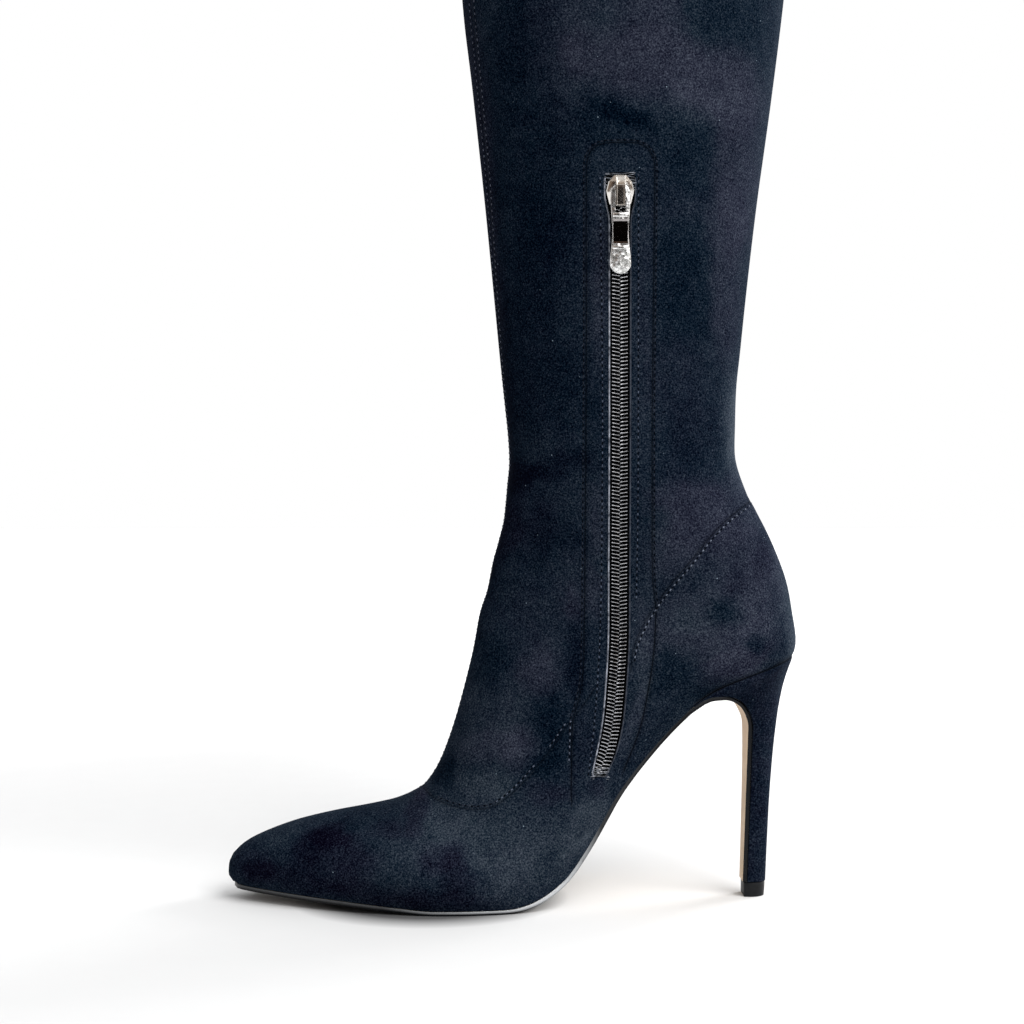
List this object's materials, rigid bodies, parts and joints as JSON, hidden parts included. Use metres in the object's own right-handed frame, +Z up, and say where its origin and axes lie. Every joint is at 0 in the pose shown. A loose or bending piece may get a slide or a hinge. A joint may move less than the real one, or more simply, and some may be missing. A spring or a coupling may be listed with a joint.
{
  "type": "over-the-knee boot",
  "caption": "Over-the-knee stiletto boot in near-black suede with a pointed toe and a closed zip up its inner side, standing empty. Right foot.",
  "frame": {"origin": "middle of the bounding box's base, on the floor that the boot stands on", "axes": "+Z up the shaft, -X to the toe, -Y to the inner (medial) side with the zip"},
  "size_m": [0.2277, 0.13, 0.6522],
  "materials": {
    "black_suede": "matte",
    "heel_cover": "matte",
    "lining": "matte",
    "outsole_leather": "gloss",
    "black_rubber": "satin",
    "zip_cloth": "matte",
    "dark_nickel": "satin",
    "nickel": "polished"
  },
  "bodies": {
    "boot": {"upper": "black_suede", "insole": "lining", "outsole": "outsole_leather", "heel": "heel_cover", "heel_tip": "black_rubber", "zip_tape": "zip_cloth", "zip_teeth": "dark_nickel", "zip_slider": "nickel"},
    "pull": {"zip_pull": "nickel"}
  },
  "joints": [
    {"name": "pull_swing", "type": "hinge", "parent": "boot", "child": "pull", "pos_m": [0.04048, -0.04613, 0.27551], "axis": [-0.9956, 0.0937, 0], "range_deg": [-6, 165]}
  ]
}
